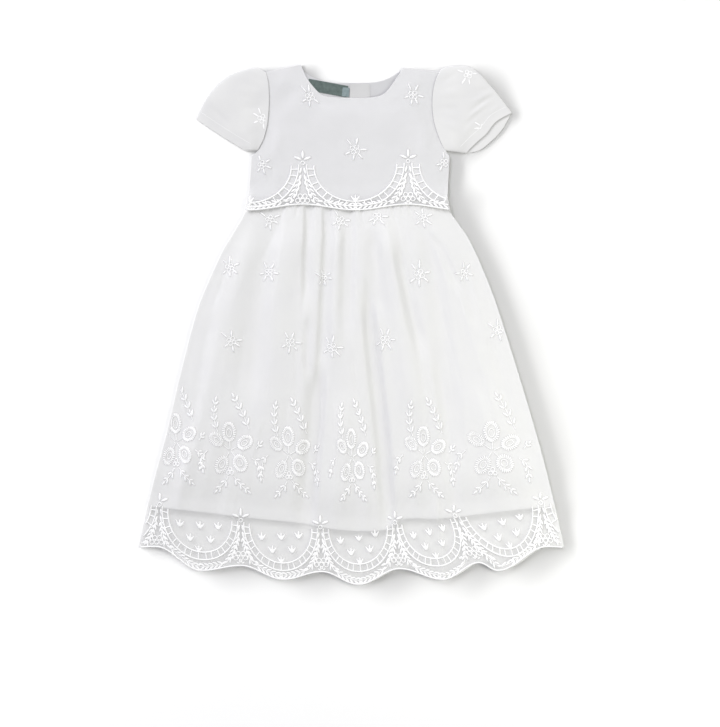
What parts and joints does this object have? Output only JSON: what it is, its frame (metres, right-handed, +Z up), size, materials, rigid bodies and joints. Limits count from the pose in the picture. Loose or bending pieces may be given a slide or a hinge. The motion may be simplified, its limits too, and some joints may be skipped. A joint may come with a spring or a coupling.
{
  "type": "lace christening gown",
  "caption": "Baby's puff-sleeved gown laid flat: satin under embroidered organza, gathered skirt with a scalloped lace hem.",
  "frame": {"origin": "centre of the gown's outline on the surface that it lies on", "axes": "+Z up from the surface, out of the gown's front; +Y from the hem towards the neck; +X to the right as the gown is seen"},
  "size_m": [0.4894, 0.5976, 0.0104],
  "materials": {
    "satin": "soft white satin",
    "organza": "sheer white organza with white embroidery",
    "label": "woven ribbon"
  },
  "bodies": {
    "root": {"bodice_back_left": "satin", "bodice_back_right": "satin", "back_placket": "satin", "neck_label": "label", "size_tab": "label", "bodice_front": "satin", "bodice_overlay": "organza", "sleeve_left": "organza", "sleeve_right": "organza", "skirt_back": "organza", "skirt_lining": "satin", "skirt_overlay": "organza"}
  },
  "joints": []
}
